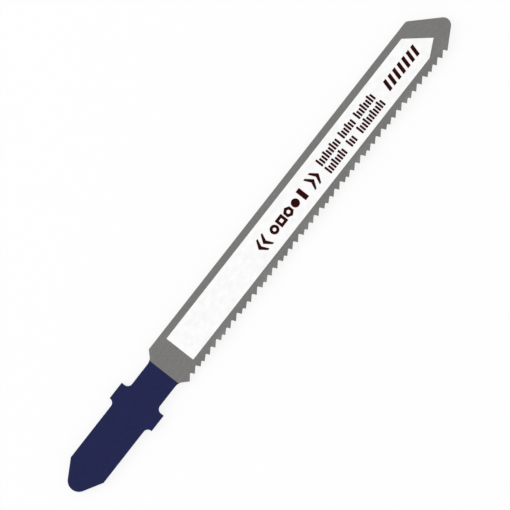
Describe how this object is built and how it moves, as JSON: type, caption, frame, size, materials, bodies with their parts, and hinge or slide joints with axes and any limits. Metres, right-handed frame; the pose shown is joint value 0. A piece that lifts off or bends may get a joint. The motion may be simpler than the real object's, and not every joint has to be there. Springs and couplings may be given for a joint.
{
  "type": "jigsaw blade",
  "caption": "Flat T-shank jigsaw blade for sheet metal: graded wave-set teeth, slanted pointed nose, dark blue lacquered shank and a white printed field with plain dark marks.",
  "frame": {"origin": "on the shank's axis at mid-thickness, level with the faces of the two lugs that take the pull of the cut", "axes": "+X along the blade from the shank to the nose, +Y from the teeth to the back edge, +Z out of the printed face"},
  "size_m": [0.092, 0.0082, 0.0014],
  "materials": {
    "blasted_steel": "satin, fine blasted",
    "blue_lacquer": "satin lacquer",
    "white_ink": "matte printed ink",
    "dark_ink": "matte printed ink, dark red brown"
  },
  "bodies": {
    "root": {"blade": "blasted_steel", "shank_lacquer": "blue_lacquer", "print_panel": "white_ink", "print_marks": "dark_ink", "print_lines": "dark_ink"}
  },
  "joints": []
}
